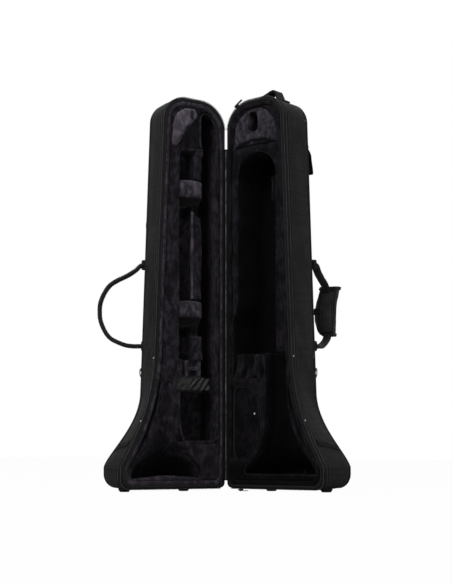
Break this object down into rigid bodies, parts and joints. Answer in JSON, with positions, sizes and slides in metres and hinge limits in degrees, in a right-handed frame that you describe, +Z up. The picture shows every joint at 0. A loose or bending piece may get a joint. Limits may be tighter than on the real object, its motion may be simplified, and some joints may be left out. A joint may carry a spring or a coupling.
{
  "type": "trombone case",
  "caption": "Soft-sided contoured case standing open on its bell end: plush-lined bell half and slide half joined by a fabric hinge, with carry handles, pockets, zip and feet.",
  "frame": {"origin": "middle of the case's footprint, on the floor", "axes": "+Z up; the bell half's rim faces -Y, and the hinge line is vertical"},
  "size_m": [0.574, 0.518, 1.0233],
  "materials": {
    "nylon": "woven, dull",
    "binding": "webbing",
    "plush": "short pile",
    "board": "dark board, hidden",
    "rubber": "matte",
    "steel": "plated wire",
    "black_metal": "satin black"
  },
  "bodies": {
    "bell_half": {"bell_cover": "nylon", "bell_frame": "board", "bell_lining": "plush", "bell_rim_tape": "binding", "bell_zip_chain": "binding", "bell_piping": "binding", "bell_hinge_leaf": "nylon", "bell_foot_free": "rubber", "bell_foot_hinge": "rubber", "mouthpiece_block": "plush", "support_block": "plush", "divider_drape": "plush", "bell_handle_anchor_upper": "nylon", "bell_handle_anchor_lower": "nylon", "grab_handle": "binding", "bell_pocket": "nylon", "bell_ring_tab": "binding"},
    "lid_half": {"lid_cover": "nylon", "lid_frame": "board", "lid_lining": "plush", "lid_rim_tape": "binding", "lid_zip_chain": "binding", "lid_piping": "binding", "lid_hinge_leaf": "nylon", "lid_foot_free": "rubber", "lid_foot_hinge": "rubber", "wedge_block": "plush", "wedge_loop_tab": "binding", "rest_block_upper": "plush", "rest_block_lower": "plush", "slide_saddle": "plush", "lid_handle_anchor_upper": "nylon", "lid_handle_anchor_lower": "nylon", "lid_pocket": "nylon", "lid_ring_tab": "binding"},
    "bell_carry_handle": {"bell_handle": "binding", "handle_wrap": "nylon"},
    "lid_carry_handle": {"lid_handle": "binding"},
    "accessory_box_lid": {"accessory_lid": "plush", "accessory_snap": "steel"},
    "pocket_flap": {"bell_pocket_flap": "nylon"},
    "strap_for_slide": {"slide_strap": "plush"},
    "lower_slider": {"zip_slider_lower": "black_metal"},
    "lower_pull": {"zip_pull_lower": "black_metal"},
    "upper_slider": {"zip_slider_upper": "black_metal"},
    "upper_pull": {"zip_pull_upper": "black_metal"},
    "bell_strap_ring": {"bell_ring": "steel"},
    "lid_strap_ring": {"lid_ring": "steel"}
  },
  "joints": [
    {"name": "case_hinge", "type": "hinge", "parent": "bell_half", "child": "lid_half", "pos_m": [-0.00928, 0.00434, 0.45], "axis": [0, 0, -1], "range_deg": [-116, 62]},
    {"name": "bell_handle_swing", "type": "hinge", "parent": "bell_half", "child": "bell_carry_handle", "pos_m": [0.17117, 0.14106, 0.47], "axis": [0, 0, 1], "range_deg": [-95, 25]},
    {"name": "lid_handle_swing", "type": "hinge", "parent": "lid_half", "child": "lid_carry_handle", "pos_m": [-0.1879, -0.10931, 0.47], "axis": [0, 0, 1], "range_deg": [-100, 25]},
    {"name": "accessory_lid_hinge", "type": "hinge", "parent": "bell_half", "child": "accessory_box_lid", "pos_m": [0.00872, 0.01034, 0.173], "axis": [0, 0, -1], "range_deg": [0, 95]},
    {"name": "pocket_flap_hinge", "type": "hinge", "parent": "bell_half", "child": "pocket_flap", "pos_m": [0.08472, 0.13664, 0.8743], "axis": [1, 0, 0], "range_deg": [0, 115]},
    {"name": "slide_strap_hinge", "type": "hinge", "parent": "lid_half", "child": "strap_for_slide", "pos_m": [-0.0758, -0.11676, 0.268], "axis": [0, 0, -1], "range_deg": [0, 110]},
    {"name": "lower_slider_travel", "type": "slide", "parent": "bell_half", "child": "lower_slider", "axis": [1, 0, 0], "range_m": [0, 0.2]},
    {"name": "lower_pull_swivel", "type": "hinge", "parent": "lower_slider", "child": "lower_pull", "pos_m": [0.03472, 0.00624, 0.003], "axis": [0, 0, 1], "range_deg": [-80, 80]},
    {"name": "upper_slider_travel", "type": "hinge", "parent": "bell_half", "child": "upper_slider", "pos_m": [0.06872, 0.00624, 0.92], "axis": [0, 1, 0], "range_deg": [-27, 31]},
    {"name": "upper_pull_swivel", "type": "hinge", "parent": "upper_slider", "child": "upper_pull", "pos_m": [0.0257, 0.00624, 0.98144], "axis": [-0.5736, 0, 0.8191], "range_deg": [-80, 80]},
    {"name": "bell_ring_swing", "type": "hinge", "parent": "bell_half", "child": "bell_strap_ring", "pos_m": [0.17922, 0.131, 0.306], "axis": [0.766, -0.6428, 0], "range_deg": [0, 120]},
    {"name": "lid_ring_swing", "type": "hinge", "parent": "lid_half", "child": "lid_strap_ring", "pos_m": [-0.18239, -0.12096, 0.306], "axis": [-0.2419, 0.9703, 0], "range_deg": [0, 120]}
  ]
}
